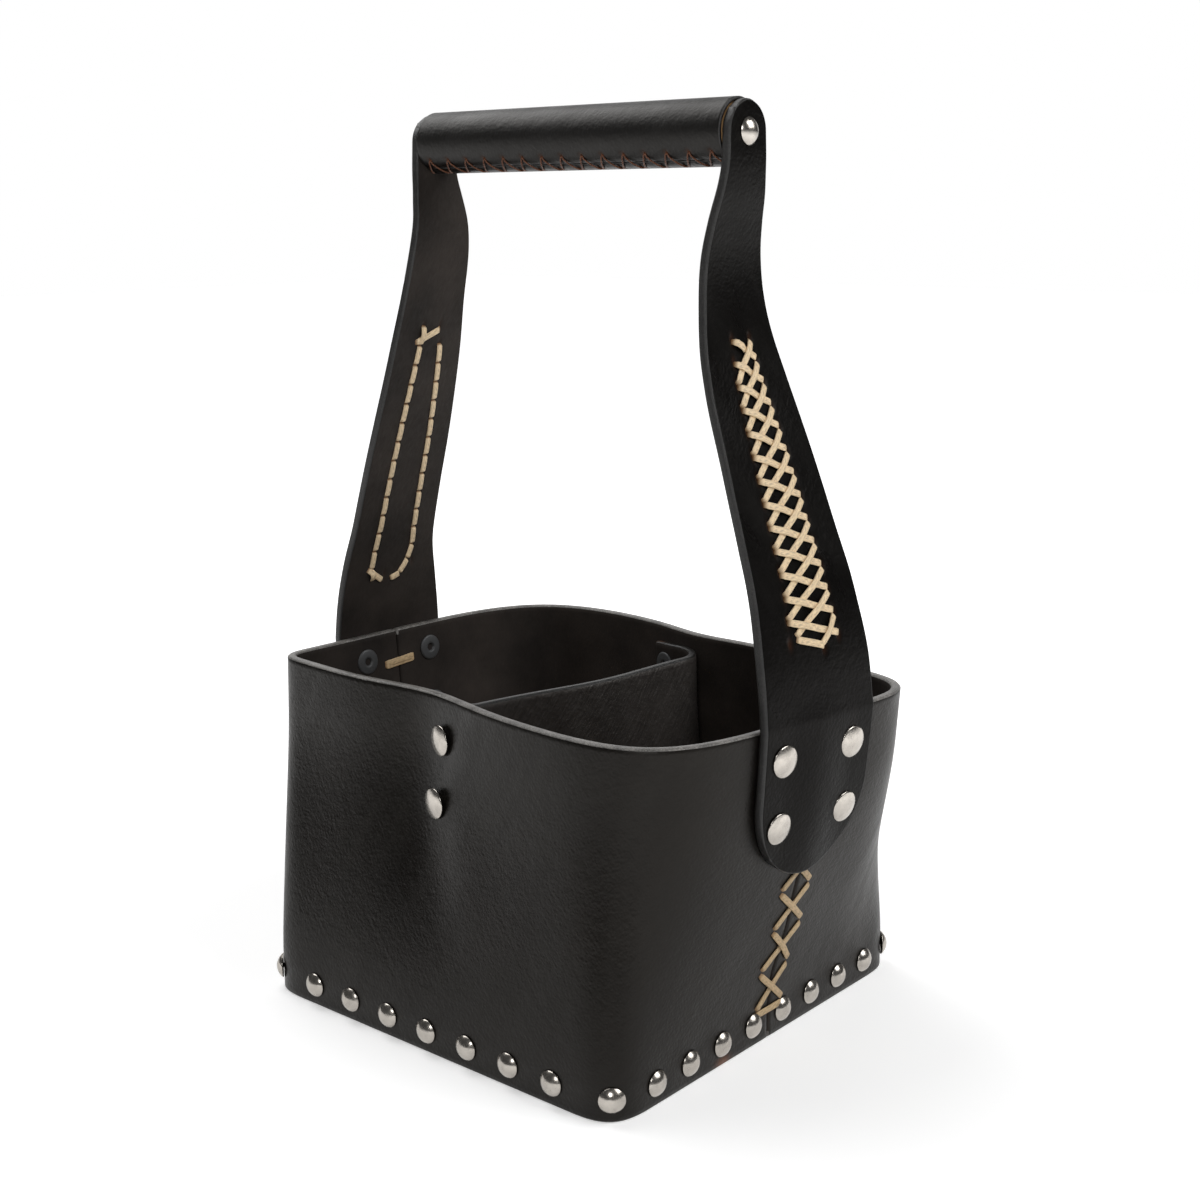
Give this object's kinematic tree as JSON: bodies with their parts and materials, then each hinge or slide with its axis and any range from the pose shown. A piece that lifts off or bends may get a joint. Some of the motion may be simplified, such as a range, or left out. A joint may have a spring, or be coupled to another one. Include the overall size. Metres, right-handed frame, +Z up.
{
  "type": "leather mate bag",
  "caption": "Open-top square leather basket with an inside divider, laced and riveted strap arms, a tacked wooden base and a leather-wrapped turning grip, for carrying a flask and mate cup.",
  "frame": {"origin": "middle of the underside of the base board, on the surface that the bag stands on", "axes": "+X along the grip from the left strap to the right strap, +Y from the front wall to the rear wall, +Z up"},
  "size_m": [0.2557, 0.2056, 0.3779],
  "materials": {
    "wall_leather": "black, satin grain side out",
    "strap_leather": "black, satin",
    "grip_leather": "black, smooth, lightly worn",
    "strap_lace": "pale rawhide",
    "seam_lace": "tan rawhide",
    "nickel": "nickel plate",
    "board_wood": "bare",
    "dowel_wood": "bare"
  },
  "bodies": {
    "basket": {"front_panel": "wall_leather", "rear_panel": "wall_leather", "divider": "wall_leather", "base_board": "board_wood", "left_strap": "strap_leather", "right_strap": "strap_leather", "left_strap_lace": "strap_lace", "right_strap_lace": "strap_lace", "left_seam_lace": "seam_lace", "right_seam_lace": "seam_lace", "front_tack_1": "nickel", "front_tack_2": "nickel", "front_tack_3": "nickel", "front_tack_4": "nickel", "front_tack_5": "nickel", "front_tack_6": "nickel", "front_tack_7": "nickel", "rear_tack_1": "nickel", "rear_tack_2": "nickel", "rear_tack_3": "nickel", "rear_tack_4": "nickel", "rear_tack_5": "nickel", "rear_tack_6": "nickel", "rear_tack_7": "nickel", "left_tack_1": "nickel", "left_tack_2": "nickel", "left_tack_3": "nickel", "left_tack_4": "nickel", "left_tack_5": "nickel", "left_tack_6": "nickel", "left_tack_7": "nickel", "left_tack_8": "nickel", "right_tack_1": "nickel", "right_tack_2": "nickel", "right_tack_3": "nickel", "right_tack_4": "nickel", "right_tack_5": "nickel", "right_tack_6": "nickel", "right_tack_7": "nickel", "right_tack_8": "nickel", "corner_tack_front_left": "nickel", "corner_tack_front_right": "nickel", "corner_tack_rear_left": "nickel", "corner_tack_rear_right": "nickel", "left_strap_rivet_front_lower": "nickel", "left_strap_rivet_front_upper": "nickel", "left_strap_rivet_rear_lower": "nickel", "left_strap_rivet_rear_upper": "nickel", "right_strap_rivet_front_lower": "nickel", "right_strap_rivet_front_upper": "nickel", "right_strap_rivet_rear_lower": "nickel", "right_strap_rivet_rear_upper": "nickel", "divider_rivet_front_lower": "nickel", "divider_rivet_front_upper": "nickel", "divider_rivet_rear_lower": "nickel", "divider_rivet_rear_upper": "nickel"},
    "handle": {"left_grip_nail": "nickel", "right_grip_nail": "nickel"},
    "grip": {"grip_dowel": "dowel_wood", "grip_wrap": "grip_leather"}
  },
  "joints": [
    {"name": "handle_sway", "type": "slide", "parent": "basket", "child": "handle", "axis": [1, 0, 0], "range_m": [-0.018, 0.018], "stiffness_N_per_m": 150, "deforming": ["left_strap", "right_strap", "left_strap_lace", "right_strap_lace"]},
    {"name": "grip_roll", "type": "hinge", "parent": "handle", "child": "grip", "pos_m": [0, 0, 0.365], "axis": [1, 0, 0], "continuous": true}
  ]
}
